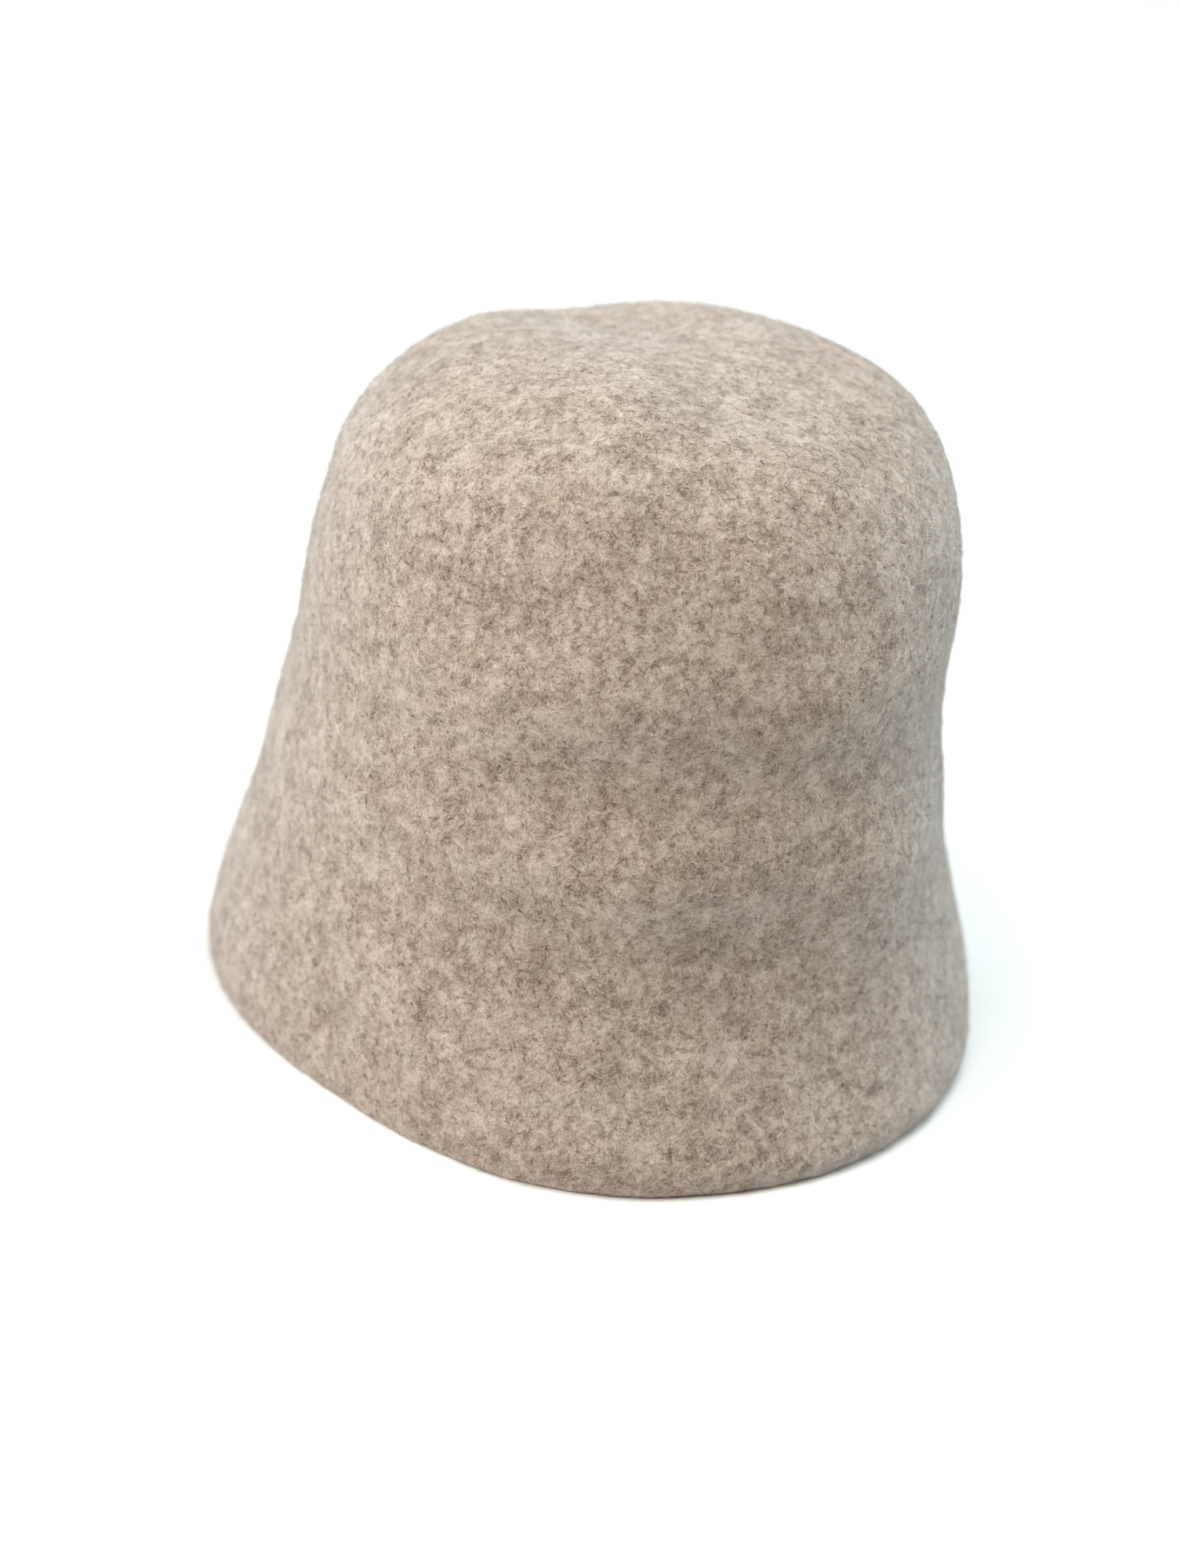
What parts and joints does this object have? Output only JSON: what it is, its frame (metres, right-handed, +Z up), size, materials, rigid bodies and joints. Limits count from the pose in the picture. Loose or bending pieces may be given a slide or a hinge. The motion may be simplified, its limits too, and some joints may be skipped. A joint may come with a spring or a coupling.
{
  "type": "felt cloche hat",
  "caption": "Seamless bell-shaped hat of soft wool felt: a deep rounded crown that flows without a band into a short flared brim, open below for the head.",
  "frame": {"origin": "centre of the rim's flat lower edge, on the surface that the hat rests on", "axes": "+Z up through the crown, -Y towards the brow (the front of the hat), +X towards the viewer's right when facing the brow"},
  "size_m": [0.2092, 0.2376, 0.1916],
  "materials": {
    "wool_felt": "fuzzy felted wool, oatmeal mixed from cream, tan and grey-brown fibres, matt"
  },
  "bodies": {
    "root": {"felt_hat": "wool_felt"}
  },
  "joints": []
}
